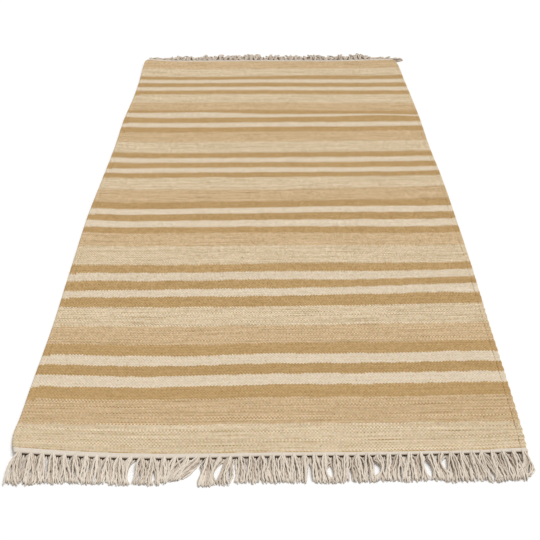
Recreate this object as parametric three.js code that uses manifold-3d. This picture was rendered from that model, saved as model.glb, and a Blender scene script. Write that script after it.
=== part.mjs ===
// A striped kilim lying flat on the floor: one weft-faced woollen cloth on cotton warps, whose warp ends
// are left at both ends as a fringe of tassels.
// Millimetres. X runs across the rug, Y along it from the front end to the back end, and Z is up.
// The origin is on the floor, under the middle of the cloth.

import * as THREE from 'three';
import { mergeVertices } from 'three/addons/utils/BufferGeometryUtils.js';
import Module from 'manifold-3d';

// Driving dimensions of the cloth
const CLOTH_WIDTH = 700; // between the straight lines that the selvedges wander about
const CLOTH_LENGTH = 1400; // from end to end of the weave, with both cotton headings
const CLOTH_THICKNESS = 4;

// Driving dimensions of the fringe
const TASSELS_PER_END = 48;
const TASSEL_THICKNESS = 4;
const NECK_WIDTH = 7.5; // the bundle of warp ends where it leaves the weave
const SPREAD_WIDTH = 12; // the same bundle where its cords have fallen apart
const NECK_LENGTH = 7; // from the weave to where the cords have fallen apart
const TIP_CORNER = 2.5; // how far the outer cords stop short at a tassel's tip
const ROOT_GAP = 0.3; // between the weave's end and the fringe
const ROOT_DEPTH = 1.6; // of the row of warp ends, just out of the weave, that the tassels grow from
const UNEVEN_REACH = 2.5; // how much longer or shorter than its neighbours a tassel may be

// How finely the wandering edges are drawn
const POINTS_ALONG = 56;
const POINTS_ACROSS = 28;

// How far out of its straight line each selvedge wanders, by distance from the front end
const SELVEDGE_WANDER = [
  { along: 0, left: -9, right: -2 },
  { along: 12, left: -4, right: -1 },
  { along: 35, left: 1, right: 1 },
  { along: 70, left: 0, right: 2 },
  { along: 120, left: 0, right: 3 },
  { along: 260, left: -1, right: 4 },
  { along: 430, left: 2, right: 7 },
  { along: 630, left: 5, right: 7 },
  { along: 750, left: 2, right: 6 },
  { along: 900, left: -1, right: 1 },
  { along: 1040, left: 0, right: 0 },
  { along: 1180, left: -5, right: -4 },
  { along: 1290, left: -5, right: -9 },
  { along: 1335, left: -4, right: -11 },
  { along: 1370, left: -4, right: -14 },
  { along: 1392, left: -6, right: -20 },
  { along: 1400, left: -12, right: -27 },
];

// How far towards the back each end of the weave bows, by distance from the left selvedge
const END_BOW = [
  { across: 0, front: 6, back: 0 },
  { across: 60, front: 1, back: -3 },
  { across: 150, front: -4, back: 0 },
  { across: 250, front: -2, back: 2 },
  { across: 350, front: 0, back: 3 },
  { across: 480, front: 1, back: 3 },
  { across: 600, front: 4, back: 4 },
  { across: 700, front: 7, back: 1 },
];

// Where some of the tassels leave the weave, numbered from the left; the others stand at equal steps between
const TASSEL_PLACES = [
  { number: 0, across: 8 },
  { number: 1, across: 24 },
  { number: 17, across: 266 },
  { number: 38, across: 567 },
  { number: 47, across: 694 },
];

// How the tassels lie at each end: how far a tip lies to the right of its neck, and how far it reaches
const FRONT_TASSELS = [
  { across: 0, lean: 3, reach: 52 },
  { across: 24, lean: 4, reach: 49 },
  { across: 57, lean: 8, reach: 46 },
  { across: 86, lean: 6, reach: 43 },
  { across: 129, lean: 2, reach: 42 },
  { across: 176, lean: 0, reach: 42 },
  { across: 206, lean: 0, reach: 42 },
  { across: 221, lean: -7, reach: 39 },
  { across: 251, lean: -18, reach: 36 },
  { across: 266, lean: -1, reach: 46 },
  { across: 280, lean: -8, reach: 45 },
  { across: 309, lean: 1, reach: 42 },
  { across: 338, lean: 6, reach: 45 },
  { across: 380, lean: 0, reach: 43 },
  { across: 423, lean: 3, reach: 46 },
  { across: 452, lean: 0, reach: 41 },
  { across: 510, lean: -4, reach: 42 },
  { across: 567, lean: 4, reach: 42 },
  { across: 595, lean: 1, reach: 46 },
  { across: 638, lean: 8, reach: 46 },
  { across: 680, lean: 1, reach: 45 },
  { across: 700, lean: -8, reach: 41 },
];
const BACK_TASSELS = [
  { across: 0, lean: 4, reach: 20 },
  { across: 52, lean: 5, reach: 22 },
  { across: 86, lean: -2, reach: 37 },
  { across: 126, lean: 0, reach: 35 },
  { across: 141, lean: 4, reach: 27 },
  { across: 160, lean: 0, reach: 41 },
  { across: 184, lean: 6, reach: 28 },
  { across: 210, lean: 1, reach: 50 },
  { across: 228, lean: 3, reach: 28 },
  { across: 248, lean: 2, reach: 43 },
  { across: 268, lean: -2, reach: 36 },
  { across: 305, lean: 2, reach: 53 },
  { across: 330, lean: -5, reach: 30 },
  { across: 348, lean: 2, reach: 43 },
  { across: 390, lean: 4, reach: 30 },
  { across: 415, lean: 1, reach: 44 },
  { across: 440, lean: 3, reach: 33 },
  { across: 470, lean: 0, reach: 44 },
  { across: 505, lean: 0, reach: 41 },
  { across: 525, lean: 5, reach: 30 },
  { across: 550, lean: 1, reach: 44 },
  { across: 577, lean: 6, reach: 31 },
  { across: 605, lean: 2, reach: 52 },
  { across: 645, lean: 6, reach: 27 },
  { across: 680, lean: 14, reach: 24 },
  { across: 700, lean: 34, reach: 23 },
];

// A smooth line through one column of a table, read at any place along its key
function column(table, key, name) {
  const points = table.map((row) => new THREE.Vector2(row[key], row[name]));
  const line = new THREE.SplineCurve(points);
  return (place) => {
    const next = Math.max(1, table.findIndex((row) => row[key] >= place));
    const span = table[next][key] - table[next - 1][key];
    const share = (place - table[next - 1][key]) / span;
    return line.getPoint((next - 1 + share) / (table.length - 1)).y;
  };
}

// The distance of a tassel's neck from the left selvedge
function tasselAcross(tassel) {
  const next = TASSEL_PLACES.findIndex((row) => row.number >= tassel);
  if (next === 0) return TASSEL_PLACES[0].across;
  const [before, after] = [TASSEL_PLACES[next - 1], TASSEL_PLACES[next]];
  const share = (tassel - before.number) / (after.number - before.number);
  return THREE.MathUtils.lerp(before.across, after.across, share);
}

const leftWander = column(SELVEDGE_WANDER, 'along', 'left');
const rightWander = column(SELVEDGE_WANDER, 'along', 'right');
const frontBow = column(END_BOW, 'across', 'front');
const backBow = column(END_BOW, 'across', 'back');

// The place on the floor of a point of the cloth, from its shares of the width and of the length
function clothPoint(widthShare, lengthShare) {
  const across = widthShare * CLOTH_WIDTH;
  const along = lengthShare * CLOTH_LENGTH;
  const left = -CLOTH_WIDTH / 2 - leftWander(along);
  const right = CLOTH_WIDTH / 2 + rightWander(along);
  const bow = THREE.MathUtils.lerp(frontBow(across), backBow(across), lengthShare);
  const x = THREE.MathUtils.lerp(left, right, widthShare);
  return new THREE.Vector2(x, along - CLOTH_LENGTH / 2 + bow);
}

// Equal steps from 0 to 1, the last one left out
function shares(count) {
  return Array.from({ length: count }, (_, step) => step / count);
}

function plate(outline, thickness) {
  return new THREE.ExtrudeGeometry(new THREE.Shape(outline), { depth: thickness, bevelEnabled: false });
}

// The cloth's outline runs round the front end, the right selvedge, the back end and the left selvedge
function clothOutline() {
  return [
    ...shares(POINTS_ACROSS).map((share) => clothPoint(share, 0)),
    ...shares(POINTS_ALONG).map((share) => clothPoint(1, share)),
    ...shares(POINTS_ACROSS).map((share) => clothPoint(1 - share, 1)),
    ...shares(POINTS_ALONG).map((share) => clothPoint(0, 1 - share)),
  ];
}

// One tassel from its neck to its tip, drawn for the side of the rug that it points to
function tassel(neck, outward, lean, reach) {
  const spreadAt = NECK_LENGTH / reach;
  const half = SPREAD_WIDTH / 2;
  const place = (sideways, share) =>
    new THREE.Vector2(neck.x + sideways + lean * share, neck.y + outward * reach * share);
  const tipShare = 1 - TIP_CORNER / reach;
  return plate(
    [
      place(-NECK_WIDTH / 2, 0),
      place(-half, spreadAt),
      place(-half, tipShare),
      place(TIP_CORNER - half, 1),
      place(half - TIP_CORNER, 1),
      place(half, tipShare),
      place(half, spreadAt),
      place(NECK_WIDTH / 2, 0),
    ],
    TASSEL_THICKNESS,
  );
}

// The row of warp ends that leaves the weave, following the bow of the cloth's end
function rootRow(lengthShare, outward) {
  const edgeMovedOut = (distance) =>
    [...shares(POINTS_ACROSS), 1].map((share) => {
      const point = clothPoint(share, lengthShare);
      point.y += outward * distance;
      return point;
    });
  const near = edgeMovedOut(ROOT_GAP);
  const far = edgeMovedOut(ROOT_GAP + ROOT_DEPTH);
  return plate([...near, ...far.reverse()], TASSEL_THICKNESS);
}

const wasm = await Module();
wasm.setup();

function toSolid(geometry) {
  geometry.deleteAttribute('normal');
  geometry.deleteAttribute('uv');
  const merged = mergeVertices(geometry);
  const vertProperties = new Float32Array(merged.attributes.position.array);
  const triVerts = new Uint32Array(merged.index.array);
  return new wasm.Manifold(new wasm.Mesh({ numProp: 3, vertProperties, triVerts }));
}

function joined(geometries) {
  const whole = geometries.map(toSolid).reduce((sum, solid) => sum.add(solid));
  const { vertProperties, triVerts } = whole.getMesh();
  const geometry = new THREE.BufferGeometry();
  geometry.setAttribute('position', new THREE.BufferAttribute(vertProperties, 3));
  geometry.setIndex(new THREE.BufferAttribute(triVerts, 1));
  geometry.computeVertexNormals();
  return geometry;
}

// A fringe is one comb: the row of warp ends along the weave's end, with a tassel at each place
function fringe(table, lengthShare) {
  const outward = lengthShare === 0 ? -1 : 1;
  const leanAt = column(table, 'across', 'lean');
  const reachAt = column(table, 'across', 'reach');
  const tassels = Array.from({ length: TASSELS_PER_END }, (_, number) => {
    const across = tasselAcross(number);
    const neck = clothPoint(across / CLOTH_WIDTH, lengthShare);
    neck.y += outward * (ROOT_GAP + ROOT_DEPTH / 2);
    const uneven = UNEVEN_REACH * Math.sin(number * number);
    return tassel(neck, outward, leanAt(across), reachAt(across) + uneven);
  });
  return joined([rootRow(lengthShare, outward), ...tassels]);
}

function fabric(color, roughness) {
  return new THREE.MeshStandardMaterial({ color, roughness, metalness: 0 });
}

function piece(name, geometry, material) {
  const mesh = new THREE.Mesh(geometry, material);
  mesh.name = name;
  return mesh;
}

const kilim = new THREE.Group();
kilim.add(
  piece('woven_cloth', plate(clothOutline(), CLOTH_THICKNESS), fabric(0xcdb28a, 0.95)),
  piece('front_fringe', fringe(FRONT_TASSELS, 0), fabric(0xddd2c4, 0.9)),
  piece('back_fringe', fringe(BACK_TASSELS, 1), fabric(0xd8cdbf, 0.9)),
);

export default kilim;
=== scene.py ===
# A striped kilim lying flat on the floor: a weft-faced woollen cloth with a tasselled fringe at both ends.

import bpy
import numpy as np
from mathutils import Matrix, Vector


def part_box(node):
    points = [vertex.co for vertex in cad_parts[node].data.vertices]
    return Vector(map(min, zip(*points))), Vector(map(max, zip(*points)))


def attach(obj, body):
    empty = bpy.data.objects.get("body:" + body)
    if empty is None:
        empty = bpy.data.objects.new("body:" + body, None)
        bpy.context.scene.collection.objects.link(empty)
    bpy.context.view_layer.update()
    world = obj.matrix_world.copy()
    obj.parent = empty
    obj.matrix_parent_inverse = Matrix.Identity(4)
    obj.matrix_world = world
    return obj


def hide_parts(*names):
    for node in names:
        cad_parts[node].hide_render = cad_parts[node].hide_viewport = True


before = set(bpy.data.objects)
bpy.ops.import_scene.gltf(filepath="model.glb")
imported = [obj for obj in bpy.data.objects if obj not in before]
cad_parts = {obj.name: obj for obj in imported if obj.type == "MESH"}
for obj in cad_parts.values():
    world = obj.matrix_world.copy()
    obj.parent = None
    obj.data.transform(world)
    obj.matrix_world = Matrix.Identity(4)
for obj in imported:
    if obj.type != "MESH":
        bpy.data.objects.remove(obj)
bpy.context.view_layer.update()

# Woven cloth
# One weft-faced cloth: wool picks are beaten down over cotton warps until they hide them, so the cloth shows
# fine beads in rows, and its stripes meet in small teeth. A few picks of undyed cotton, the heading, close
# each end and hold the wool in place. The selvedges are the cloth's own sides, where the picks turn back.

MM = 0.001  # sizes are in millimetres, and meshes in metres
CLOTH_WIDTH = 700
CLOTH_LENGTH = 1400
CLOTH_THICKNESS = (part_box("woven_cloth")[1][2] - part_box("woven_cloth")[0][2]) / MM
FRONT_HEADING = 9
BACK_HEADING = 7
EDGE_ROUNDING = 2.2
FLOOR_CLEARANCE = 0.3
GRID_STEP_ACROSS = 9
GRID_STEP_ALONG = 3.2

# How far out of its straight line each selvedge wanders, by distance from the front end
SELVEDGE_ALONG = (0, 12, 35, 70, 120, 260, 430, 630, 750, 900, 1040, 1180, 1290, 1335, 1370, 1392, 1400)
LEFT_WANDER = (-9, -4, 1, 0, 0, -1, 2, 5, 2, -1, 0, -5, -5, -4, -4, -6, -12)
RIGHT_WANDER = (-2, -1, 1, 2, 3, 4, 7, 7, 6, 1, 0, -4, -9, -11, -14, -20, -27)

# How far towards the back each end bows, by distance from the left selvedge, and how soon the bow fades
BOW_ACROSS = (0, 60, 150, 250, 350, 480, 600, 700)
FRONT_BOW = (3, -1, -5, -4, 0, 2, 6, 9)
BACK_BOW = (0, -3, 0, 2, 3, 3, 4, 1)
BOW_FADE = 90

# How far towards the back the picks wave, by distance from the front end and from the left selvedge
WAVE_ACROSS = (0, 40, 180, 350, 520, 660, 700)
PICK_WAVES = (
    (0, (0, 0, 0, 0, 0, 0, 0)),
    (9, (1, 0, -2, -3, -3, -2, 0)),
    (57, (-1, -1, -1, 2, 5, 7, 8)),
    (130, (2, 0, -1, 7, 10, 15, 16)),
    (200, (-1, -1, -4, 4, 7, 12, 12)),
    (322, (-2, -2, -2, 1, 7, 12, 14)),
    (350, (-3, -4, -2, 2, 9, 15, 14)),
    (373, (-9, -9, -5, 0, 8, 17, 18)),
    (397, (-5, -5, -4, 2, 4, 13, 15)),
    (443, (-3, -3, -3, 3, 7, 9, 12)),
    (545, (4, -1, 0, 2, 3, 5, 7)),
    (638, (-5, -8, -6, 0, 6, 9, 12)),
    (700, (-4, -7, -5, -4, 5, 12, 16)),
    (800, (-6, -7, -3, 0, 2, 7, 10)),
    (870, (0, -4, -5, 0, 5, 10, 12)),
    (1021, (-5, -6, -5, 1, 2, 6, 6)),
    (1049, (0, -4, -5, 0, 8, 12, 8)),
    (1070, (1, 1, 5, -4, -2, -4, -6)),
    (1089, (-4, -5, -5, -1, -4, -2, -1)),
    (1210, (-7, -7, -4, -1, -1, 0, 0)),
    (1278, (-7, -8, -7, -1, 0, 2, 5)),
    (1301, (-12, -12, -11, -3, 3, 0, 4)),
    (1400, (0, 0, 0, 0, 0, 0, 0)),
)

# Widths of the stripes from the front end: oat and tan, ochre and cream in turn, tan and oat, ochre and cream
STRIPE_WIDTHS = (
    (48, 49, 25, 24, 24, 23, 25, 45, 50, 28, 23, 24, 23, 23),
    (59, 43, 22, 24, 26, 21, 25, 49, 49, 20, 20, 24, 21, 23),
    (54, 50, 25, 23, 28, 21, 19, 45, 51, 23, 22, 26, 22, 23),
    (48, 45),
)

# Where the cloth stands off the floor: across, along, height, and how far around it the lift fades
LIFTS = (
    (CLOTH_WIDTH - 10, CLOTH_LENGTH, 5.0, 90),
    (0, CLOTH_LENGTH, 4.0, 80),
    (0, 0, 0.8, 60),
    (CLOTH_WIDTH, 0, 1.5, 60),
)
FRONT_END_LIFT = 2.2
BACK_END_LIFT = 3.0
END_LIFT_FADE = 35

# Two low ripples that cross: how far along and across the rug each takes for one radian, and where it starts
RIPPLES = ((61, 190, 0), (143, -83, 2))
RIPPLE_HEIGHT = 0.2

# The selvedges: the outer warps are doubled, with a groove beside them, and along the right one the turning
# picks make scallops, which drift in and out of step
SELVEDGE_WIDTH = 9
GROOVE_DEPTH = 0.5
GROOVE_WIDTH = 1.4
SCALLOP_LENGTH = 15
SCALLOP_DEPTH = 0.8
SCALLOP_FADE = 2.5  # for each metre from the front end
SCALLOP_DRIFT = 3  # radians
SCALLOP_DRIFT_LENGTH = 90  # for each radian

# Grid lines that draw the rounding of an edge and the groove of a selvedge
EDGE_LINES = (0, 0.3, 0.9, 1.9, 3.2, 5)
GROOVE_LINES = (-1, -0.5, 0, 0.5, 1)  # in widths of the groove
GROOVE_CLEARANCE = 3  # from the last of them to the even grid


def smooth_line(places, values, at):
    """Reads a smooth line through the values at these places."""
    places, values = np.array(places, float), np.array(values, float)
    slopes = np.gradient(values, places)
    before = np.clip(np.searchsorted(places, at) - 1, 0, len(places) - 2)
    span = places[before + 1] - places[before]
    t = (at - places[before]) / span
    start = values[before] * (1 + 2 * t) + slopes[before] * span * t
    end = values[before + 1] * (3 - 2 * t) - slopes[before + 1] * span * (1 - t)
    return start * (1 - t) ** 2 + end * t**2


def cloth_place(across, along):
    """The place on the floor, in millimetres, of points of the cloth before its picks wave."""
    left = -CLOTH_WIDTH / 2 - smooth_line(SELVEDGE_ALONG, LEFT_WANDER, along)
    right = CLOTH_WIDTH / 2 + smooth_line(SELVEDGE_ALONG, RIGHT_WANDER, along)
    front = smooth_line(BOW_ACROSS, FRONT_BOW, across)
    back = smooth_line(BOW_ACROSS, BACK_BOW, across)
    front_share = np.clip(1 - along / BOW_FADE, 0, 1) ** 2
    back_share = np.clip(1 - (CLOTH_LENGTH - along) / BOW_FADE, 0, 1) ** 2
    x = left + (right - left) * across / CLOTH_WIDTH
    y = along - CLOTH_LENGTH / 2 + front * front_share + back * back_share
    return x, y


def pick_wave(across, along):
    """How far the picks wave towards the back."""
    rows = np.array([smooth_line(WAVE_ACROSS, row, across) for _, row in PICK_WAVES])
    row_along = [place for place, _ in PICK_WAVES]
    before = np.clip(np.searchsorted(row_along, along) - 1, 0, len(rows) - 2)
    start, end = np.take(row_along, before), np.take(row_along, before + 1)
    share = (along - start) / (end - start)
    columns = np.arange(len(across))
    return rows[before, columns] * (1 - share) + rows[before + 1, columns] * share


def cloth_lift(across, along):
    """How far the cloth's underside stands off the floor."""
    front_share = np.clip(1 - along / END_LIFT_FADE, 0, 1) ** 2
    back_share = np.clip(1 - (CLOTH_LENGTH - along) / END_LIFT_FADE, 0, 1) ** 2
    lift = FLOOR_CLEARANCE + FRONT_END_LIFT * front_share + BACK_END_LIFT * back_share
    for lift_across, lift_along, height, fade in LIFTS:
        away = np.hypot(across - lift_across, along - lift_along) / fade
        lift = lift + height * np.exp(-(away**2))
    for ripple_along, ripple_across, start in RIPPLES:
        ripple = np.sin(along / ripple_along + across / ripple_across + start)
        lift = lift + RIPPLE_HEIGHT * (1 + ripple)
    return lift


def steps_between(start, end, step):
    """Even steps of about this size, without the end."""
    return np.linspace(start, end, max(1, round((end - start) / step)) + 1)[:-1]


end_steps = np.array(EDGE_LINES)
side_steps = np.append(end_steps, SELVEDGE_WIDTH + GROOVE_WIDTH * np.array(GROOVE_LINES))
even_start = side_steps[-1] + GROOVE_CLEARANCE
across_steps = np.concatenate(
    [
        side_steps,
        steps_between(even_start, CLOTH_WIDTH - even_start, GRID_STEP_ACROSS),
        [CLOTH_WIDTH - even_start],
        CLOTH_WIDTH - side_steps[::-1],
    ]
)
widths = np.concatenate(STRIPE_WIDTHS)
field_length = CLOTH_LENGTH - FRONT_HEADING - BACK_HEADING
stripe_edges = FRONT_HEADING + np.concatenate([[0], np.cumsum(widths)]) * field_length / widths.sum()
along_steps = np.concatenate(
    [
        end_steps,
        *(steps_between(a, b, GRID_STEP_ALONG) for a, b in zip(stripe_edges[:-1], stripe_edges[1:])),
        [CLOTH_LENGTH - BACK_HEADING],
        CLOTH_LENGTH - end_steps[::-1],
    ]
)

along, across = (grid.ravel() for grid in np.meshgrid(along_steps, across_steps, indexing="ij"))
rows, columns = len(along_steps), len(across_steps)
from_side = np.minimum(across, CLOTH_WIDTH - across)
from_end = np.minimum(along, CLOTH_LENGTH - along)
roundings = [np.clip(distance / EDGE_ROUNDING, 0, 1) for distance in (from_side, from_end)]
rounding = np.prod([np.sqrt(1 - (1 - share) ** 2) for share in roundings], axis=0)
groove = GROOVE_DEPTH * np.exp(-(((from_side - SELVEDGE_WIDTH) / GROOVE_WIDTH * 2) ** 2))
half = rounding * (CLOTH_THICKNESS / 2) - groove * (rounding > 0)
middle = cloth_lift(across, along) + CLOTH_THICKNESS / 2

x, y = cloth_place(across, along)
y = y + pick_wave(across, along)
scallop_drift = SCALLOP_DRIFT * np.sin(along / SCALLOP_DRIFT_LENGTH)
scallop = np.sin(2 * np.pi * along / SCALLOP_LENGTH + scallop_drift)
scallop = scallop * np.exp(-from_side / SELVEDGE_WIDTH - SCALLOP_FADE * along * MM)
x = x + SCALLOP_DEPTH * scallop * (across > CLOTH_WIDTH / 2)

# The top and the underside share the points of the cloth's edge
border = (rounding == 0).reshape(rows, columns)
top_number = np.arange(rows * columns).reshape(rows, columns)
under_number = np.where(border, top_number, 0)
under_number[~border] = rows * columns + np.arange((~border).sum())
inner = ~border.ravel()
points = np.concatenate(
    [
        np.column_stack([x, y, middle + half]),
        np.column_stack([x, y, middle - half])[inner],
    ]
)
source = np.concatenate([np.arange(rows * columns), np.flatnonzero(inner)])


def grid_faces(number):
    """The four-cornered faces of a grid of numbered points."""
    corners = [number[:-1, :-1], number[:-1, 1:], number[1:, 1:], number[1:, :-1]]
    return np.stack(corners, axis=-1).reshape(-1, 4)


top_faces, under_faces = grid_faces(top_number), grid_faces(under_number)[:, ::-1]
faces = np.concatenate([top_faces, under_faces])
corners = source[faces.ravel()]
face_along = along[source[faces]].mean(axis=1)
in_heading = (face_along < FRONT_HEADING) | (face_along > CLOTH_LENGTH - BACK_HEADING)


def mesh_piece(name, points_mm, faces, materials):
    """Makes a smooth mesh object of points in millimetres."""
    mesh = bpy.data.meshes.new(name)
    mesh.from_pydata((points_mm * MM).tolist(), [], faces)
    mesh.shade_smooth()
    for material in materials:
        mesh.materials.append(material)
    piece = bpy.data.objects.new(name, mesh)
    bpy.context.collection.objects.link(piece)
    return piece


def add_map(piece, name, first, second):
    """Adds a UV map with a pair of values for each corner of each face."""
    layer = piece.data.uv_layers.new(name=name)
    layer.uv.foreach_set("vector", np.column_stack([first, second]).astype(np.float32).ravel())


def linear(colour):
    """Turns an sRGB hex colour to linear RGBA."""
    parts = np.array([int(colour[i : i + 2], 16) for i in (1, 3, 5)]) / 255
    values = np.where(parts <= 0.04045, parts / 12.92, ((parts + 0.055) / 1.055) ** 2.4)
    return (*values.tolist(), 1.0)


def new_material(name):
    """Makes a material with no nodes yet."""
    material = bpy.data.materials.new(name)
    material.use_nodes = True
    material.node_tree.nodes.clear()
    return material


def add_node(material, kind, inputs=None, **settings):
    """Adds a node with its settings, and fills its inputs with values or with other nodes' outputs."""
    node = material.node_tree.nodes.new(kind)
    for name, value in settings.items():
        setattr(node, name, value)
    for name, value in (inputs or {}).items():
        if isinstance(value, bpy.types.Node):
            value = value.outputs[0]
        if isinstance(value, bpy.types.NodeSocket):
            material.node_tree.links.new(value, node.inputs[name])
        else:
            node.inputs[name].default_value = value
    return node


# Weft-faced wool: a matt, slightly hairy yarn in four shades. The oat and tan yarns are heathered, so single
# picks run across as lighter and darker streaks, and rows of staggered beads show where a pale pick meets a
# dark one; the ridges of these rows are painted lighter and the gaps between them darker, as painted light
# and shade. Here and there a dark knot of fibre is spun in.
YARNS = {"oat": "#CFBB9C", "tan": "#C5AA85", "ochre": "#B49466", "cream": "#D6C5AC"}
HEATHER = {"oat": 1.0, "tan": 0.85, "ochre": 0.4, "cream": 0.3}
GRAIN = {"oat": 1.0, "tan": 1.0, "ochre": 1.0, "cream": 0.7}
ROWS = {"oat": 0.45, "tan": 1.0, "ochre": 0.35, "cream": 0.25}
YARN_ORDER = (
    "oat", "tan", "ochre", "cream", "ochre", "cream", "ochre",
    "tan", "oat", "ochre", "cream", "ochre", "cream", "ochre",
)  # fmt: skip
STRIPE_REPEAT = len(YARN_ORDER)
WARP_SPACING = 2.39
BEAD_LENGTH = 2.85  # along the rug, drawn coarser than the real pick of 1.3 mm, which would not show
ROW_SPACING = 5.7  # of the rows of beads that stand out, most of all in the tan yarn
TOOTH_HEIGHT = 1.0
TOOTH_GROWTH = 3.2  # for each metre from the front end, drawn larger where real teeth would not show
EDGE_STEP = 1.3  # one pick more or less
TUCK_WIDTH = 13
TUCK_HEIGHT = 3.5
TUCK_RARITY = 0.6  # the share of stripes without one
KNOT_SPACING = 45
KNOT_RADIUS = 1.2
KNOT_TONE = -0.3
DYE_LOT_RANGE = 0.05

# Noises along the picks: size across, size along and strength, which for the edges of stripes is in metres
LOOSE_EDGE = ((3, 8, 1.5 * MM),)
EDGE_WANDER = ((34, 60, 3.4 * MM),)
HEATHER_STREAKS = ((420, 9, 0.14), (180, 3.2, 0.38), (40, 2.8, 0.26))
GRAIN_STREAKS = ((6, 2.6, 0.2), (90, 2.8, 0.22))
BEAD_STREAKS = ((220, 4, 1.3),)
DARK_PICKS = ((90, 2.6, 1.0),)
GROOVE_GAPS = ((300, 16, 1.0),)

# How strong the beads and their rows are
BEAD_STRENGTH = 0.07
BEAD_UNEVENNESS = 0.8
LEAST_BEAD_STRENGTH = 0.06
ROW_STRENGTH = 0.08
ROW_UNEVENNESS = 0.3
ROW_BEAD = 0.6  # of a row's beads, beside its ridge
# The ridge of each row is painted lighter and the gap between rows darker, as painted light and shade
RIDGE_CONTRAST = 1.9
RIDGE_MIDDLE = 1.2  # taken off, so that the rows don't lighten the cloth
BEAD_TONE = 0.17  # how much one bead differs from the next, at the front end
BEAD_TONE_GROWTH = 0.5  # for each metre from there, to show where the beads are too small to tell apart
MOST_BEAD_TONE = 0.38
FAR_ROWS = 0.28  # for each metre from the front end, wider rows where the beads are too small to show
MOST_FAR_ROWS = 0.07

# Dark picks, and the groove darkened as painted shade
DARK_PICK_RARITY = 0.1
DARK_PICK_TONE = -1.3
GROOVE_SHADE_TONE = -0.24
GROOVE_UNEVENNESS = -0.8
GROOVE_FADE = 0.16  # for each metre from the front end

# Hue, and the hairs of the yarn
HUE_SIZE = 7
HUE_CHANGE = (0.16, 0.10, 0.24)
TONE_HUE = (0.82, 0.95, 1.24)
HAIR_SIZE = 1.2  # drawn coarser than real fibres, which would not show
HAIR_RELIEF = 0.8  # beside the beads
RELIEF_HEIGHT = 0.35
SMOOTHEST = 0.86
ROUGHNESS_RANGE = 0.14

wool = new_material("weft_faced_wool")
weave = add_node(wool, "ShaderNodeUVMap", uv_map="weave")
weave_parts = add_node(wool, "ShaderNodeSeparateXYZ", {0: weave})
stripe_map = add_node(wool, "ShaderNodeUVMap", uv_map="stripes")
stripe_parts = add_node(wool, "ShaderNodeSeparateXYZ", {0: stripe_map})
across_out, along_out = weave_parts.outputs[0], weave_parts.outputs[1]
stripe_out, stripe_width_out = stripe_parts.outputs[0], stripe_parts.outputs[1]


def streaks(material, place, sizes):
    """Adds up noises that are stretched along the picks, each from minus to plus half its strength."""
    total = None
    for size_across, size_along, strength in sizes:
        scale = (1 / (size_across * MM), 1 / (size_along * MM), 0)
        stretched = add_node(material, "ShaderNodeVectorMath", {0: place, 1: scale}, operation="MULTIPLY")
        noise_inputs = {"Vector": stretched, "Scale": 1.0, "Detail": 1.0}
        noise = add_node(material, "ShaderNodeTexNoise", noise_inputs, noise_dimensions="2D")
        centred = {0: noise, 1: strength, 2: -strength / 2}
        noise = add_node(material, "ShaderNodeMath", centred, operation="MULTIPLY_ADD")
        total = noise if total is None else add_node(material, "ShaderNodeMath", {0: total, 1: noise})
    return total


# Neighbouring warps are covered by different picks, so a change of yarn steps up and down from warp to warp
tooth = add_node(wool, "ShaderNodeMath", {0: across_out, 1: WARP_SPACING * MM}, operation="PINGPONG")
tooth_inputs = {0: tooth, 1: WARP_SPACING * MM / 2}
tooth = add_node(wool, "ShaderNodeMath", tooth_inputs, operation="GREATER_THAN")
tooth_inputs = {0: tooth, 1: TOOTH_HEIGHT * MM, 2: -TOOTH_HEIGHT * MM / 2}
tooth = add_node(wool, "ShaderNodeMath", tooth_inputs, operation="MULTIPLY_ADD")
growth = add_node(wool, "ShaderNodeMath", {0: along_out, 1: TOOTH_GROWTH, 2: 1.0}, operation="MULTIPLY_ADD")
loose_edge = streaks(wool, weave, LOOSE_EDGE)
shift = add_node(wool, "ShaderNodeMath", {0: tooth, 1: growth, 2: loose_edge}, operation="MULTIPLY_ADD")
edge_steps = streaks(wool, weave, EDGE_WANDER)
edge_steps = add_node(wool, "ShaderNodeMath", {0: edge_steps, 1: EDGE_STEP * MM}, operation="SNAP")
shift = add_node(wool, "ShaderNodeMath", {0: shift, 1: edge_steps})

# A new yarn is tucked in at the left selvedge, which steps some stripes there
tucked = add_node(wool, "ShaderNodeMath", {0: across_out, 1: TUCK_WIDTH * MM}, operation="LESS_THAN")
near_stripe = add_node(wool, "ShaderNodeMath", {0: stripe_out}, operation="ROUND")
tuck = add_node(wool, "ShaderNodeTexWhiteNoise", {"W": near_stripe}, noise_dimensions="1D")
tuck = add_node(wool, "ShaderNodeMath", {0: tuck, 1: TUCK_RARITY}, operation="GREATER_THAN")
tuck = add_node(wool, "ShaderNodeMath", {0: tuck, 1: tucked}, operation="MULTIPLY")
tuck_inputs = {0: tuck, 1: TUCK_HEIGHT * MM, 2: shift}
shift = add_node(wool, "ShaderNodeMath", tuck_inputs, operation="MULTIPLY_ADD")
shift = add_node(wool, "ShaderNodeMath", {0: shift, 1: stripe_width_out}, operation="DIVIDE")
stripe = add_node(wool, "ShaderNodeMath", {0: stripe_out, 1: shift})
stripe = add_node(wool, "ShaderNodeMath", {0: stripe}, operation="FLOOR")
in_repeat = add_node(wool, "ShaderNodeMath", {0: stripe, 1: STRIPE_REPEAT}, operation="FLOORED_MODULO")
repeat_inputs = {0: in_repeat, 1: 1 / STRIPE_REPEAT, 2: 0.5 / STRIPE_REPEAT}
in_repeat = add_node(wool, "ShaderNodeMath", repeat_inputs, operation="MULTIPLY_ADD")

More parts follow.
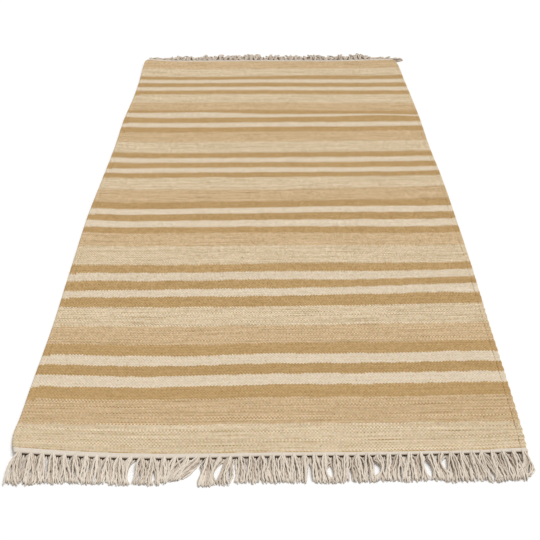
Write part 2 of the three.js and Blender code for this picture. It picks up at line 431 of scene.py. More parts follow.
# The yarn of each stripe of the repeat, and how strong its heathering, its grain and its rows of beads are
charts = []
for chart_values in (
    [linear(YARNS[yarn]) for yarn in YARN_ORDER],
    [(HEATHER[yarn], GRAIN[yarn], ROWS[yarn], 1) for yarn in YARN_ORDER],
):
    chart = add_node(wool, "ShaderNodeValToRGB", {"Fac": in_repeat})
    chart.color_ramp.interpolation = "CONSTANT"
    chart.color_ramp.elements.remove(chart.color_ramp.elements[1])
    for step, value in enumerate(chart_values):
        position = step / STRIPE_REPEAT
        stop = chart.color_ramp.elements.new(position) if step else chart.color_ramp.elements[0]
        stop.color = value
    charts.append(chart)
yarn_colour, strengths = charts
strength_parts = add_node(wool, "ShaderNodeSeparateXYZ", {0: strengths})
heather, grain, row_strength = strength_parts.outputs

heather_tone = streaks(wool, weave, HEATHER_STREAKS)
grain_tone = streaks(wool, weave, GRAIN_STREAKS)
grain_tone = add_node(wool, "ShaderNodeMath", {0: grain_tone, 1: grain}, operation="MULTIPLY")
tone_inputs = {0: heather_tone, 1: heather, 2: grain_tone}
tone = add_node(wool, "ShaderNodeMath", tone_inputs, operation="MULTIPLY_ADD")

# Beads of the picks, staggered from row to row, stronger in some rows than in others
waves = []
for place, size in ((across_out, WARP_SPACING), (along_out, BEAD_LENGTH), (along_out, ROW_SPACING)):
    wave = add_node(wool, "ShaderNodeMath", {0: place, 1: np.pi / (size * MM)}, operation="MULTIPLY")
    waves.append(add_node(wool, "ShaderNodeMath", {0: wave}, operation="SINE"))
bead = add_node(wool, "ShaderNodeMath", {0: waves[0], 1: waves[1]}, operation="MULTIPLY")
bead_size = (1 / (WARP_SPACING * MM), 1 / (BEAD_LENGTH * MM), 0)
bead_cell = add_node(wool, "ShaderNodeVectorMath", {0: weave, 1: bead_size}, operation="MULTIPLY")
bead_cell = add_node(wool, "ShaderNodeVectorMath", {0: bead_cell}, operation="FLOOR")
bead_tone = add_node(wool, "ShaderNodeTexWhiteNoise", {"Vector": bead_cell}, noise_dimensions="2D")
bead_tone = add_node(wool, "ShaderNodeMath", {0: bead_tone, 1: 0.5}, operation="SUBTRACT")
bead_tone = add_node(wool, "ShaderNodeMath", {0: bead_tone, 1: grain}, operation="MULTIPLY")
bead_growth = {0: along_out, 1: BEAD_TONE_GROWTH, 2: BEAD_TONE}
bead_growth = add_node(wool, "ShaderNodeMath", bead_growth, operation="MULTIPLY_ADD")
bead_growth = add_node(wool, "ShaderNodeMath", {0: bead_growth, 1: MOST_BEAD_TONE}, operation="MINIMUM")
tone = add_node(wool, "ShaderNodeMath", {0: bead_tone, 1: bead_growth, 2: tone}, operation="MULTIPLY_ADD")
uneven = streaks(wool, weave, BEAD_STREAKS)
bead_inputs = {0: uneven, 1: BEAD_UNEVENNESS, 2: BEAD_STRENGTH}
bead_strength = add_node(wool, "ShaderNodeMath", bead_inputs, operation="MULTIPLY_ADD")
bead_inputs = {0: bead_strength, 1: heather, 2: LEAST_BEAD_STRENGTH}
bead_strength = add_node(wool, "ShaderNodeMath", bead_inputs, operation="MULTIPLY_ADD")
tone = add_node(wool, "ShaderNodeMath", {0: bead, 1: bead_strength, 2: tone}, operation="MULTIPLY_ADD")
row_bead = add_node(wool, "ShaderNodeMath", {0: waves[0], 1: waves[2]}, operation="MULTIPLY")
# Painted light and shade: lighter on the ridge of each row, darker in the gap between rows
ridge_light_and_shade = add_node(wool, "ShaderNodeMath", {0: waves[2]}, operation="ABSOLUTE")
ridge_shade_inputs = {0: ridge_light_and_shade, 1: RIDGE_CONTRAST, 2: -RIDGE_MIDDLE}
ridge_light_and_shade = add_node(wool, "ShaderNodeMath", ridge_shade_inputs, operation="MULTIPLY_ADD")
row_tone = add_node(wool, "ShaderNodeMath", {0: row_bead, 1: ROW_BEAD, 2: ridge_light_and_shade}, operation="MULTIPLY_ADD")
far_rows = add_node(wool, "ShaderNodeMath", {0: along_out, 1: FAR_ROWS}, operation="MULTIPLY")
far_rows = add_node(wool, "ShaderNodeMath", {0: far_rows, 1: MOST_FAR_ROWS}, operation="MINIMUM")
far_rows = add_node(wool, "ShaderNodeMath", {0: far_rows, 1: grain}, operation="MULTIPLY")
tone = add_node(wool, "ShaderNodeMath", {0: row_bead, 1: far_rows, 2: tone}, operation="MULTIPLY_ADD")
row_inputs = {0: uneven, 1: ROW_UNEVENNESS, 2: ROW_STRENGTH}
row_light = add_node(wool, "ShaderNodeMath", row_inputs, operation="MULTIPLY_ADD")
row_light = add_node(wool, "ShaderNodeMath", {0: row_light, 1: row_strength}, operation="MULTIPLY")
tone = add_node(wool, "ShaderNodeMath", {0: row_tone, 1: row_light, 2: tone}, operation="MULTIPLY_ADD")

# Single dark picks
dark_pick = streaks(wool, weave, DARK_PICKS)
dark_pick = add_node(wool, "ShaderNodeMath", {0: dark_pick, 1: DARK_PICK_RARITY}, operation="SUBTRACT")
dark_pick = add_node(wool, "ShaderNodeMath", {0: dark_pick, 1: 0.0}, operation="MAXIMUM")
dark_pick = add_node(wool, "ShaderNodeMath", {0: dark_pick, 1: heather}, operation="MULTIPLY")
tone_inputs = {0: dark_pick, 1: DARK_PICK_TONE, 2: tone}
tone = add_node(wool, "ShaderNodeMath", tone_inputs, operation="MULTIPLY_ADD")

# Each stripe's yarn comes from another dye lot
dye_lot = add_node(wool, "ShaderNodeTexWhiteNoise", {"W": stripe}, noise_dimensions="1D")
dye_lot_inputs = {0: dye_lot, 1: DYE_LOT_RANGE, 2: 1 - DYE_LOT_RANGE / 2}
dye_lot = add_node(wool, "ShaderNodeMath", dye_lot_inputs, operation="MULTIPLY_ADD")
tone = add_node(wool, "ShaderNodeMath", {0: tone, 1: dye_lot})

# Dark knots of fibre
knot_inputs = {"Vector": weave, "Scale": 1 / (KNOT_SPACING * MM)}
knot = add_node(wool, "ShaderNodeTexVoronoi", knot_inputs, voronoi_dimensions="2D")
knot = add_node(wool, "ShaderNodeMath", {0: knot, 1: KNOT_RADIUS / KNOT_SPACING}, operation="LESS_THAN")
tone = add_node(wool, "ShaderNodeMath", {0: knot, 1: KNOT_TONE, 2: tone}, operation="MULTIPLY_ADD")

# The groove beside the doubled warps of the right selvedge is painted darker in places, as painted shade in
# the groove, most of all near the front
groove_inputs = {0: across_out, 1: (CLOTH_WIDTH - SELVEDGE_WIDTH) * MM, 2: GROOVE_WIDTH * MM / 2}
groove_shade_mask = add_node(wool, "ShaderNodeMath", groove_inputs, operation="COMPARE")
groove_shade = streaks(wool, weave, GROOVE_GAPS)
groove_inputs = {0: groove_shade, 1: GROOVE_UNEVENNESS, 2: GROOVE_SHADE_TONE}
groove_shade = add_node(wool, "ShaderNodeMath", groove_inputs, operation="MULTIPLY_ADD")
groove_inputs = {0: along_out, 1: GROOVE_FADE, 2: groove_shade}
groove_shade = add_node(wool, "ShaderNodeMath", groove_inputs, operation="MULTIPLY_ADD")
groove_shade = add_node(wool, "ShaderNodeMath", {0: groove_shade, 1: 0.0}, operation="MINIMUM")
tone_inputs = {0: groove_shade_mask, 1: groove_shade, 2: tone}
tone = add_node(wool, "ShaderNodeMath", tone_inputs, operation="MULTIPLY_ADD")

# The fibres of one yarn differ a little in hue, and its darker ones are browner
hue_inputs = {"Vector": weave, "Scale": 1 / (HUE_SIZE * MM), "Detail": 2.0}
hue = add_node(wool, "ShaderNodeTexNoise", hue_inputs, noise_dimensions="2D")
hue_change = {0: hue.outputs["Color"], 1: HUE_CHANGE, 2: [-change / 2 for change in HUE_CHANGE]}
hue = add_node(wool, "ShaderNodeVectorMath", hue_change, operation="MULTIPLY_ADD")
tone_inputs = {0: tone, 1: TONE_HUE, 2: [1 - share for share in TONE_HUE]}
tone = add_node(wool, "ShaderNodeVectorMath", tone_inputs, operation="MULTIPLY_ADD")
tone = add_node(wool, "ShaderNodeVectorMath", {0: tone, 1: hue})
wool_colour = add_node(wool, "ShaderNodeVectorMath", {0: yarn_colour, 1: tone}, operation="MULTIPLY")

# Hairs and beads make the wool's fine relief
hair_inputs = {"Vector": weave, "Scale": 1 / (HAIR_SIZE * MM), "Detail": 2.0}
hairs = add_node(wool, "ShaderNodeTexNoise", hair_inputs, noise_dimensions="2D")
relief = add_node(wool, "ShaderNodeMath", {0: hairs, 1: HAIR_RELIEF, 2: bead}, operation="MULTIPLY_ADD")
bump_inputs = {"Height": relief, "Strength": 0.6, "Distance": RELIEF_HEIGHT * MM}
wool_bump = add_node(wool, "ShaderNodeBump", bump_inputs)
roughness_inputs = {0: hairs, 1: ROUGHNESS_RANGE, 2: SMOOTHEST}
wool_roughness = add_node(wool, "ShaderNodeMath", roughness_inputs, operation="MULTIPLY_ADD")
wool_inputs = {
    "Base Color": wool_colour,
    "Roughness": wool_roughness,
    "Normal": wool_bump,
    "Specular IOR Level": 0.05,
}
wool_shader = add_node(wool, "ShaderNodeBsdfPrincipled", wool_inputs)
add_node(wool, "ShaderNodeOutputMaterial", {"Surface": wool_shader})

# Undyed cotton heading: a smoother, paler yarn in close plain weave, off-white and matt
HEADING_COLOURS = ("#CFC3B2", "#DED4C7")
HEADING_GRAIN = 4
HEADING_RELIEF = 0.3
heading_cotton = new_material("undyed_cotton_heading")
heading_weave = add_node(heading_cotton, "ShaderNodeUVMap", uv_map="weave")
heading_inputs = {"Vector": heading_weave, "Scale": 1 / (HEADING_GRAIN * MM), "Detail": 3.0}
heading_noise = add_node(heading_cotton, "ShaderNodeTexNoise", heading_inputs, noise_dimensions="2D")
heading_mix = {"Factor": heading_noise, "A": linear(HEADING_COLOURS[0]), "B": linear(HEADING_COLOURS[1])}
heading_colour = add_node(heading_cotton, "ShaderNodeMix", heading_mix, data_type="RGBA")
heading_relief = {"Height": heading_noise, "Strength": 0.4, "Distance": HEADING_RELIEF * MM}
heading_bump = add_node(heading_cotton, "ShaderNodeBump", heading_relief)
heading_inputs = {
    "Base Color": heading_colour.outputs["Result"],
    "Roughness": 0.9,
    "Normal": heading_bump,
    "Specular IOR Level": 0.1,
}
heading_shader = add_node(heading_cotton, "ShaderNodeBsdfPrincipled", heading_inputs)
add_node(heading_cotton, "ShaderNodeOutputMaterial", {"Surface": heading_shader})

cloth = mesh_piece("kilim_cloth", points, faces.tolist(), [wool, heading_cotton])
cloth.data.polygons.foreach_set("material_index", in_heading.astype(np.int32))
stripe_number = np.interp(along, stripe_edges, np.arange(len(stripe_edges)))
stripe_width = np.interp(along, (stripe_edges[1:] + stripe_edges[:-1]) / 2, np.diff(stripe_edges) * MM)
add_map(cloth, "weave", across[corners] * MM, along[corners] * MM)
add_map(cloth, "stripes", stripe_number[corners], stripe_width[corners])

# The top takes the left half of the baking map, and the underside the right half
BAKE_HALF = 0.49  # of the map's width, with a little left between
side_of_map = np.repeat([0.0, 0.5], [top_faces.size, under_faces.size])
bake_across = side_of_map + BAKE_HALF * across[corners] / CLOTH_WIDTH
add_map(cloth, "OFBake", bake_across, along[corners] / CLOTH_LENGTH)
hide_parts("woven_cloth")
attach(cloth, "root")

# Fringes
# The warp ends left over at each end: twisted cotton cords, bundled into tassels where they leave the heading
# and fallen apart towards their tips. Nothing is sewn on: the tassels grow out of a flat row of warp ends,
# which is painted near-black under the cloth's edge as painted shade.

TASSELS_PER_END = 48
CORD_RADIUS = 1.3
CORD_SIDES = 6
CORD_RINGS = 20
UNDER_CORDS = 5  # of each tassel, loose below its bundle
SPREAD_WIDTH = 17
CORD_START = -3  # inside the cloth's end
DROP_LENGTH = 26  # from the cloth's end to where the cords lie on the floor
DROP_SHARE = 0.7  # of its length, in which a short cord does so

# The layers of cords from the floor up: the neck's width and its height above the cloth's underside, how soon
# the cords spread, and their tint from dark to pale. The tint is painted shade and light: the bundle's lower
# cords are painted darker, and the loose cords under it are painted pale against the shade they lie in
LAYERS = (
    (14.0, -1.2, 1.0, 0.95),
    (4.2, 0.9, 0.4, 0.5),
    (4.2, 2.2, 0.65, 0.64),
    (4.2, 3.2, 0.8, 0.8),
)
# The darker tint that a fringe's cords are pulled towards, as painted shade
PAINTED_SHADE_TINT = 0.56
HEAP_TOP = 13.4  # of the highest cords, above the floor

# How the cords of a tassel differ: ranges or standard deviations, in millimetres or as shares
REACH_RANGE = (-1.5, 1.5)
LENGTH_RANGE = (0.91, 1.01)
THICKNESS_RANGE = (0.88, 1.1)
TINT_RANGE = (-0.12, 0.15)
LIE_RANGE = (0, 0.8)
SPREAD_DEVIATION = 0.13
BOW_DEVIATION = 1.6
SWAY_DEVIATION = 1.1
CRIMP_LENGTH_RANGE = (9, 13)
CRIMP_START = 0.25  # the share of the cord over which the crimp sets in
CRIMP_WIDTH = 0.35
CRIMP_HEIGHT = 0.3  # for its width
LEAN_POWER = 1.2  # the lean grows towards the tip

# A tassel of this reach isn't heaped, and one longer by this much is heaped fully
HEAP_START = 20
HEAP_SPAN = 25
HEAP_POWER = 0.8  # puts the top of the heap nearer the cloth

# Where the tassels leave the cloth: numbers of tassels, and their distances from the left selvedge
TASSEL_NUMBERS = (0, 1, 17, 38, 47)
TASSEL_PLACES = (8, 24, 266, 567, 694)

# How the tassels lie: their distance from the left selvedge, how far a tip lies to the right of its neck and
# the middle bulges to the right, how far the tassel reaches, and its number of cords
FRONT_TASSELS = (
    (8, 3, -4, 53, 12),
    (24, 4, 0, 50, 11),
    (57, 8, 0, 47, 9),
    (86, 6, 0, 43, 9),
    (129, 2, 0, 42, 9),
    (160, 1, -2, 43, 9),
    (176, -1, 2, 42, 9),
    (191, 4, 0, 43, 9),
    (206, 0, 0, 42, 9),
    (221, -7, 0, 39, 9),
    (236, -16, 0, 36, 10),
    (251, -25, 0, 35, 10),
    (266, -4, 0, 46, 10),
    (280, -8, 0, 45, 8),
    (294, -7, -2, 44, 8),
    (309, 1, 1, 42, 5),
    (323, 3, 1, 43, 5),
    (338, 6, 0, 45, 8),
    (366, 4, 0, 43, 9),
    (380, 0, 0, 43, 9),
    (409, 4, 0, 44, 9),
    (423, 3, 0, 46, 9),
    (452, 0, 0, 41, 9),
    (466, 2, 0, 42, 9),
    (510, -4, 0, 42, 9),
    (539, -4, 0, 43, 9),
    (567, 4, 0, 42, 9),
    (595, 1, 0, 46, 9),
    (623, 5, 0, 45, 9),
    (638, 10, 0, 46, 9),
    (652, 6, 0, 46, 9),
    (666, 7, 0, 45, 9),
    (680, 1, 1, 45, 9),
    (694, -8, 4, 41, 10),
)
BACK_TASSELS = (
    (8, 4, 0, 20, 8),
    (52, 5, 0, 20, 8),
    (72, 5, 0, 29, 9),
    (86, -2, 0, 33, 9),
    (104, 1, 0, 31, 9),
    (126, 0, 0, 31, 9),
    (141, 4, 0, 21, 9),
    (160, 0, 0, 37, 10),
    (184, 6, 0, 21, 9),
    (210, 1, 0, 49, 10),
    (228, 3, 0, 21, 9),
    (248, 2, 0, 39, 10),
    (268, -2, 0, 32, 10),
    (285, 6, 0, 40, 9),
    (305, 2, 0, 53, 10),
    (330, -5, 0, 21, 9),
    (348, 2, 0, 39, 10),
    (370, 0, 0, 35, 9),
    (390, 4, 0, 23, 9),
    (415, 1, 0, 40, 10),
    (440, 3, 0, 27, 10),
    (470, 0, 0, 40, 10),
    (505, 0, 0, 37, 9),
    (525, 5, 0, 23, 9),
    (550, 1, 0, 40, 10),
    (577, 6, 0, 24, 9),
    (605, 2, 0, 50, 10),
    (628, -3, 0, 37, 9),
    (645, 6, 0, 26, 8),
    (680, 10, 0, 27, 8),
    (694, 27, 0, 22, 6),
)

# Openings where the floor shows: across the cloth near it and away from it, from, to, and width
FRONT_OPENINGS = (
    (171, 170, 3, 42, 9),
    (262, 230, 14, 75, 13),
    (288, 279, 4, 39, 8),
    (404, 405, 9, 75, 7),
    (430, 433, 12, 37, 8),
    (496, 493, 8, 34, 9),
    (560, 563, 8, 38, 9),
    (582, 584, 2, 30, 6),
)
OPENING_BLUNTNESS = 0.6
OPENING_SOFTNESS = 1.5


def smooth_step(share):
    """Eases from 0 to 1."""
    share = np.clip(share, 0, 1)
    return share * share * (3 - 2 * share)


def cord_skin(route, radius):
    """Rings of points around a route."""
    ahead = np.gradient(route, axis=0)
    ahead /= np.linalg.norm(ahead, axis=1, keepdims=True)
    side = np.cross(ahead, (0, 0, 1))
    side /= np.linalg.norm(side, axis=1, keepdims=True)
    above = np.cross(side, ahead)
    angle = np.linspace(0, 2 * np.pi, CORD_SIDES, endpoint=False)[None, :, None]
    ring = np.cos(angle) * side[:, None] + np.sin(angle) * above[:, None]
    return (route[:, None] + radius[:, None, None] * ring).reshape(-1, 3)


def part_cords(x, out, neck_x, openings):
    """Pushes a cord aside, away from the openings between the tassels."""
    for near, far, start, end, width in openings:
        share = np.clip((out - start) / (end - start), 0, 1)
        middle = near + (far - near) * share - CLOTH_WIDTH / 2
        half = width / 2 + CORD_RADIUS
        window = np.sin(np.pi * share) ** OPENING_BLUNTNESS
        side = 1 if neck_x > near - CLOTH_WIDTH / 2 else -1
        beyond = (x - middle) * side - half
        clear = half + (beyond + np.sqrt(beyond**2 + OPENING_SOFTNESS)) / 2
        x = x + (middle + side * clear - x) * window
    return x


# The cords thin out at their tips
TIP_SHARES = (0, 0.88, 0.96, 1)
TIP_THICKNESS = (1, 1, 0.75, 0.25)
ring_shares = np.append(np.linspace(0, TIP_SHARES[-2], CORD_RINGS - 1), 1)
ring_thickness = np.interp(ring_shares, TIP_SHARES, TIP_THICKNESS)


def lay_cords(
    end_along,
    outward,
    tassels,
    openings,
    layer_height,
    flattening,
    heap,
    rounding,
    curling,
    fluff,
    dust,
    seed,
):
    """Lays the cords of one fringe, and gives their skins, tints and lengths."""
    draws = np.random.default_rng(seed)
    columns = np.array(tassels, float).T
    skins, tints, lengths = [], [], []
    for tassel in range(TASSELS_PER_END):
        across = float(np.interp(tassel, TASSEL_NUMBERS, TASSEL_PLACES))
        lean, bulge, reach, cords = (np.interp(across, columns[0], column) for column in columns[1:])
        neck = np.array([across]), np.array([end_along])
        neck_x, neck_y = (float(part[0]) for part in cloth_place(*neck))
        neck_z = float(cloth_lift(*neck)[0])
        reach += draws.uniform(*REACH_RANGE)
        cords = round(float(cords))
        layers = draws.permutation(np.arange(cords) % (len(LAYERS) - 1)) + 1
        bundle = [((cord + 0.5) / cords - 0.5, layer) for cord, layer in enumerate(layers)]
        loose = [((cord + 0.5) / UNDER_CORDS - 0.5, 0) for cord in range(UNDER_CORDS)]
        for sideways, layer in bundle + loose:
            neck_width, neck_height, fan_power, tint = LAYERS[layer]
            from_middle = 4 * sideways**2
            length = reach * draws.uniform(*LENGTH_RANGE) * (1 - rounding * from_middle)
            out = CORD_START + (length - CORD_START) * ring_shares
            fallen = np.clip(out / length, 0, 1)
            spread = sideways + draws.normal(0, SPREAD_DEVIATION)
            fan = neck_width * sideways * (1 - fallen) + SPREAD_WIDTH * spread * fallen**fan_power
            bow = (bulge + draws.normal(0, BOW_DEVIATION)) * np.sin(np.pi * fallen)
            sway = draws.normal(0, SWAY_DEVIATION) * np.sin(2 * np.pi * fallen)
            curl = draws.normal(0, curling) * fallen**2
            crimp = np.sin(2 * np.pi * (out / draws.uniform(*CRIMP_LENGTH_RANGE) + draws.uniform()))
            crimp = CRIMP_WIDTH * crimp * smooth_step(fallen / CRIMP_START)
            x = neck_x + fan + lean * fallen**LEAN_POWER + bow + sway + curl + crimp
            x = part_cords(x, out, neck_x, openings)
            radius = CORD_RADIUS * draws.uniform(*THICKNESS_RANGE) * ring_thickness * (1 + fluff * fallen)
            start_z = neck_z + neck_height
            lie_z = radius + layer_height * (layer - 0.5) * (1 - flattening * fallen)
            lie_z = lie_z + draws.uniform(*LIE_RANGE)
            drop = smooth_step(out / min(DROP_LENGTH, DROP_SHARE * length))
            z = start_z * (1 - drop) + lie_z * drop + CRIMP_HEIGHT * crimp
            heaped = heap * np.clip((reach - HEAP_START) / HEAP_SPAN, 0, 1)
            z = z + heaped * np.sin(np.pi * fallen**HEAP_POWER) * (1 - from_middle)
            z = np.clip(z, radius + FLOOR_CLEARANCE / 2, HEAP_TOP - radius)
            skins.append(cord_skin(np.column_stack([x, neck_y + outward * out, z]), radius))
            # Painted shade: the cords are pulled towards a darker tint
            tint += (PAINTED_SHADE_TINT - tint) * dust
            tints.append(np.clip(tint + draws.uniform(*TINT_RANGE), 0, 1))
            lengths.append(length)
    return skins, np.array(tints), np.array(lengths)


# The section of the row of warp ends under the cloth's edge: out from the edge, and up from its underside
ROOT_SECTION = ((-2.5, -0.3), (0.5, -0.3), (0.5, 1.7), (-2.5, 1.7))
ROOT_CORNERS = len(ROOT_SECTION)
ROOT_STEPS = 140
ROOT_INSET = 10


def root_row(end_along, outward):
    """The points and faces of the row of warp ends that the tassels grow from."""
    across = np.linspace(ROOT_INSET, CLOTH_WIDTH - ROOT_INSET, ROOT_STEPS + 1)
    along = np.full(ROOT_STEPS + 1, end_along)
    x, y = cloth_place(across, along)
    z = cloth_lift(across, along)
    rims = [np.column_stack([x, y + outward * out, z + up]) for out, up in ROOT_SECTION]
    number = np.arange((ROOT_STEPS + 1) * ROOT_CORNERS).reshape(-1, ROOT_CORNERS)
    around = np.append(number, number[:, :1], axis=1)
    sides = np.stack([around[:-1, :-1], around[1:, :-1], around[1:, 1:], around[:-1, 1:]], axis=-1)
    faces = np.concatenate([sides.reshape(-1, 4), [number[0], number[-1, ::-1]]])
    return np.stack(rims, axis=1).reshape(-1, 3), faces[:, ::-1] if outward > 0 else faces


def fringe_piece(name, end_along, outward, materials, **lie):
    """Makes one fringe of its cords and the row that they grow from."""
    skins, tints, lengths = lay_cords(end_along, outward, **lie)
    cords = len(skins)

    # Faces run from ring to ring, and a cap closes each end
    numbers = np.meshgrid(np.arange(CORD_RINGS - 1), np.arange(CORD_SIDES), indexing="ij")
    ring, side = (number.ravel() for number in numbers)
    corner_rings = np.stack([ring, ring + 1, ring + 1, ring], axis=-1)
    corner_sides = np.stack([side, side, side + 1, side + 1], axis=-1)
    skin = corner_rings * CORD_SIDES + corner_sides % CORD_SIDES
    cap = np.arange(CORD_SIDES)
    far_cap = cap[::-1] + (CORD_RINGS - 1) * CORD_SIDES
    first = np.arange(cords) * CORD_RINGS * CORD_SIDES
    faces = (first[:, None, None] + skin).reshape(-1, 4).tolist()
    faces += (first[:, None] + cap).tolist()
    faces += (first[:, None] + far_cap).tolist()
    turns = (corner_sides.ravel(), cap, cap[::-1])
    around = np.concatenate([np.tile(turn, cords) for turn in turns]) / CORD_SIDES
    sizes = (skin.size, CORD_SIDES, CORD_SIDES)
    corner_cord = np.concatenate([np.repeat(np.arange(cords), size) for size in sizes])
    shares = (ring_shares[corner_rings.ravel()], np.zeros(CORD_SIDES), np.ones(CORD_SIDES))
    corner_share = np.concatenate([np.tile(share, cords) for share in shares])

    root_points, root_faces = root_row(end_along, outward)
    cord_faces, cord_points = len(faces), cords * CORD_RINGS * CORD_SIDES
    faces += (root_faces + cord_points).tolist()
    piece = mesh_piece(name, np.concatenate([*skins, root_points]), faces, materials)
    in_root = np.arange(len(faces)) >= cord_faces
    piece.data.polygons.foreach_set("material_index", in_root.astype(np.int32))

    root_corners = root_faces.ravel()
    nothing = np.zeros(len(root_corners))
    along_cord = corner_share * lengths[corner_cord] * MM
    add_map(piece, "cord", np.append(around, nothing), np.append(along_cord, nothing))
    add_map(piece, "tint", np.append(tints[corner_cord], nothing), np.append(corner_share, nothing))

    # Each cord has its own cell of the map, and the row of warp ends has a strip above the cells
    cells = int(np.ceil(np.sqrt(cords)))
    margin, cell_width, cell_height = 0.05, 0.9, 0.8
    cell_across = (corner_cord % cells + margin + cell_width * around) / cells
    cell_along = (corner_cord // cells + margin + cell_height * corner_share) / (cells + 1)
    strip_start, strip_step = 0.1, 0.2
    strip_across = root_corners // ROOT_CORNERS / (ROOT_STEPS + 1)
    strip_along = (cells + strip_start + strip_step * (root_corners % ROOT_CORNERS)) / (cells + 1)
    add_map(piece, "OFBake", np.append(cell_across, strip_across), np.append(cell_along, strip_along))
    return piece


# Twisted cotton cord: undyed, matt and a little fuzzy, from off-white to a warm grey-brown that paints shade
# on the lower cords
CORD_COLOURS = ("#8A6E54", "#E5DACB")
TWIST_LENGTH = 6
PLIES = 2
TWIST_RELIEF = 0.3
TWIST_SHADE = 0.08
FLUFF_SIZE = 3
FLUFF_SHADE = 0.4
TIP_PAINTED_LIGHT = 0.1  # painted light: the cords are painted lighter towards their tips, against the shade on their ends
CORD_UNDERSIDE_SHADE = 0.16  # painted shade: each cord's underside and sides are painted darker and its top lighter
cord_cotton = new_material("twisted_cotton_cord")
cord_map = add_node(cord_cotton, "ShaderNodeUVMap", uv_map="cord")
cord_parts = add_node(cord_cotton, "ShaderNodeSeparateXYZ", {0: cord_map})
tint_map = add_node(cord_cotton, "ShaderNodeUVMap", uv_map="tint")
tint_parts = add_node(cord_cotton, "ShaderNodeSeparateXYZ", {0: tint_map})
twist_inputs = {0: cord_parts.outputs[1], 1: 2 * np.pi / (TWIST_LENGTH * MM)}
twist = add_node(cord_cotton, "ShaderNodeMath", twist_inputs, operation="MULTIPLY")
helix_inputs = {0: cord_parts.outputs[0], 1: PLIES * 2 * np.pi, 2: twist}
twist = add_node(cord_cotton, "ShaderNodeMath", helix_inputs, operation="MULTIPLY_ADD")
twist = add_node(cord_cotton, "ShaderNodeMath", {0: twist}, operation="SINE")
cord_place = add_node(cord_cotton, "ShaderNodeTexCoord")
fluff_inputs = {"Vector": cord_place.outputs["Object"], "Scale": 1 / (FLUFF_SIZE * MM), "Detail": 2.0}
fluff = add_node(cord_cotton, "ShaderNodeTexNoise", fluff_inputs)
shade_inputs = {0: fluff, 1: FLUFF_SHADE, 2: -FLUFF_SHADE / 2}
cord_shade = add_node(cord_cotton, "ShaderNodeMath", shade_inputs, operation="MULTIPLY_ADD")
shade_inputs = {0: twist, 1: TWIST_SHADE, 2: cord_shade}
cord_shade = add_node(cord_cotton, "ShaderNodeMath", shade_inputs, operation="MULTIPLY_ADD")
cord_shade = add_node(cord_cotton, "ShaderNodeMath", {0: cord_shade, 1: tint_parts.outputs[0]})
# Painted shade: darker on each cord's underside and sides, lighter on its top
underside_shade_inputs = {0: cord_parts.outputs[0], 1: 2 * np.pi}
underside_shade = add_node(cord_cotton, "ShaderNodeMath", underside_shade_inputs, operation="MULTIPLY")
underside_shade = add_node(cord_cotton, "ShaderNodeMath", {0: underside_shade}, operation="SINE")
underside_shade_inputs = {0: underside_shade, 1: CORD_UNDERSIDE_SHADE, 2: -CORD_UNDERSIDE_SHADE / 2}
underside_shade = add_node(cord_cotton, "ShaderNodeMath", underside_shade_inputs, operation="MULTIPLY_ADD")
cord_shade = add_node(cord_cotton, "ShaderNodeMath", {0: cord_shade, 1: underside_shade})
# Painted light: lighter towards the tips
tip = add_node(cord_cotton, "ShaderNodeMath", {0: tint_parts.outputs[1], 1: 2.0}, operation="POWER")
shade_inputs = {0: tip, 1: TIP_PAINTED_LIGHT, 2: cord_shade}
cord_shade = add_node(cord_cotton, "ShaderNodeMath", shade_inputs, operation="MULTIPLY_ADD")
cord_mix = {"Factor": cord_shade, "A": linear(CORD_COLOURS[0]), "B": linear(CORD_COLOURS[1])}
cord_colour = add_node(cord_cotton, "ShaderNodeMix", cord_mix, data_type="RGBA")
twist_relief = {"Height": twist, "Strength": 0.5, "Distance": TWIST_RELIEF * MM}
cord_bump = add_node(cord_cotton, "ShaderNodeBump", twist_relief)
cord_inputs = {
    "Base Color": cord_colour.outputs["Result"],
    "Roughness": 0.9,
    "Normal": cord_bump,
    "Specular IOR Level": 0.1,
}
cord_shader = add_node(cord_cotton, "ShaderNodeBsdfPrincipled", cord_inputs)
add_node(cord_cotton, "ShaderNodeOutputMaterial", {"Surface": cord_shader})

# Warp ends in painted shade: the same cotton pressed flat under the edge, painted near-black as the shade
# under it
ROOT_SHADE_COLOURS = ("#3A2A1D", "#5E4936")
ROOT_GRAIN = 4
root_shade_paint = new_material("dusty_warp_ends")
root_place = add_node(root_shade_paint, "ShaderNodeTexCoord")
root_noise_inputs = {"Vector": root_place.outputs["Object"], "Scale": 1 / (ROOT_GRAIN * MM), "Detail": 2.0}
root_noise = add_node(root_shade_paint, "ShaderNodeTexNoise", root_noise_inputs)
root_mix = {"Factor": root_noise, "A": linear(ROOT_SHADE_COLOURS[0]), "B": linear(ROOT_SHADE_COLOURS[1])}
root_shade_colour = add_node(root_shade_paint, "ShaderNodeMix", root_mix, data_type="RGBA")
root_inputs = {"Base Color": root_shade_colour.outputs["Result"], "Roughness": 0.95, "Specular IOR Level": 0.05}
root_shader = add_node(root_shade_paint, "ShaderNodeBsdfPrincipled", root_inputs)
add_node(root_shade_paint, "ShaderNodeOutputMaterial", {"Surface": root_shader})

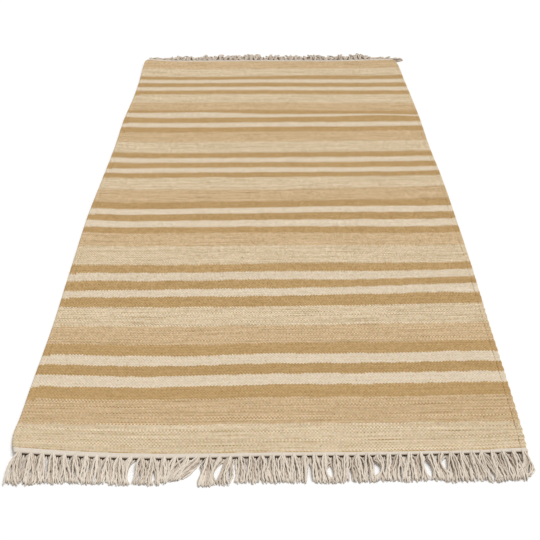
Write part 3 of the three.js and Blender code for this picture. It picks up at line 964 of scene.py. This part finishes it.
# The front fringe lies flatter and straighter than the back one, which is heaped up behind the cloth's end
# and is painted darker, as painted shade
fringe_materials = [cord_cotton, root_shade_paint]
front_fringe = fringe_piece(
    "kilim_front_fringe",
    end_along=0.0,
    outward=-1,
    materials=fringe_materials,
    tassels=FRONT_TASSELS,
    openings=FRONT_OPENINGS,
    layer_height=2.0,
    flattening=0.75,
    heap=0.0,
    rounding=0.05,
    curling=1.0,
    fluff=0.0,
    dust=0.0,
    seed=11,
)
back_fringe = fringe_piece(
    "kilim_back_fringe",
    end_along=float(CLOTH_LENGTH),
    outward=1,
    materials=fringe_materials,
    tassels=BACK_TASSELS,
    openings=(),
    layer_height=2.6,
    flattening=0.2,
    heap=4.5,
    rounding=0.3,
    curling=6.0,
    fluff=0.7,
    dust=0.85,
    seed=23,
)
for piece, node in ((front_fringe, "front_fringe"), (back_fringe, "back_fringe")):
    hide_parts(node)
    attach(piece, "root")

# Floor, light and camera
# A plain pale floor under one large soft light, high on the right and a little behind the rug, seen from in
# front of the rug by a camera that looks down at it.

FLOOR_SIZE = 8
FLOOR_COLOUR = "#F8F8F8"
bpy.ops.object.select_all(action="DESELECT")
bpy.ops.mesh.primitive_plane_add(size=FLOOR_SIZE)
floor = bpy.context.object
floor.name = "floor"
floor_paint = new_material("pale_floor_paint")
floor_inputs = {"Base Color": linear(FLOOR_COLOUR), "Roughness": 0.9}
floor_shader = add_node(floor_paint, "ShaderNodeBsdfPrincipled", floor_inputs)
add_node(floor_paint, "ShaderNodeOutputMaterial", {"Surface": floor_shader})
floor.data.materials.append(floor_paint)

# Strengths of the light, and its angles in degrees
ROOM_LIGHT = 0.5
KEY_LIGHT = 2.1
KEY_SOFTNESS = 35
KEY_FROM_BEHIND = 12
KEY_FROM_RIGHT = 24

world = bpy.data.worlds.new("studio")
world.use_nodes = True
world.node_tree.nodes["Background"].inputs["Color"].default_value = (1, 1, 1, 1)
world.node_tree.nodes["Background"].inputs["Strength"].default_value = ROOM_LIGHT
bpy.context.scene.world = world

key_turn = (np.radians(-KEY_FROM_BEHIND), np.radians(KEY_FROM_RIGHT), 0)
bpy.ops.object.light_add(type="SUN", rotation=key_turn)
key = bpy.context.object
key.name = "soft_key"
key.data.energy = KEY_LIGHT
key.data.angle = np.radians(KEY_SOFTNESS)

# The camera's distances in metres, angles in degrees, and lens in millimetres
CAMERA_HEIGHT = 0.847
CAMERA_BEFORE_CLOTH = 0.7465
CAMERA_RIGHT_OF_MIDDLE = 0.0076
CAMERA_TILT_DOWN = 35.67
CAMERA_TURN_LEFT = 0.4
LENS = 54.8
SENSOR_WIDTH = 36

camera_data = bpy.data.cameras.new("camera")
camera_data.lens = LENS
camera_data.sensor_width = SENSOR_WIDTH
camera = bpy.data.objects.new("camera", camera_data)
camera.location = (CAMERA_RIGHT_OF_MIDDLE, -CLOTH_LENGTH / 2 * MM - CAMERA_BEFORE_CLOTH, CAMERA_HEIGHT)
camera.rotation_euler = (np.radians(90 - CAMERA_TILT_DOWN), 0, np.radians(CAMERA_TURN_LEFT))
bpy.context.collection.objects.link(camera)
bpy.context.scene.camera = camera
bpy.context.scene.view_settings.view_transform = "Standard"
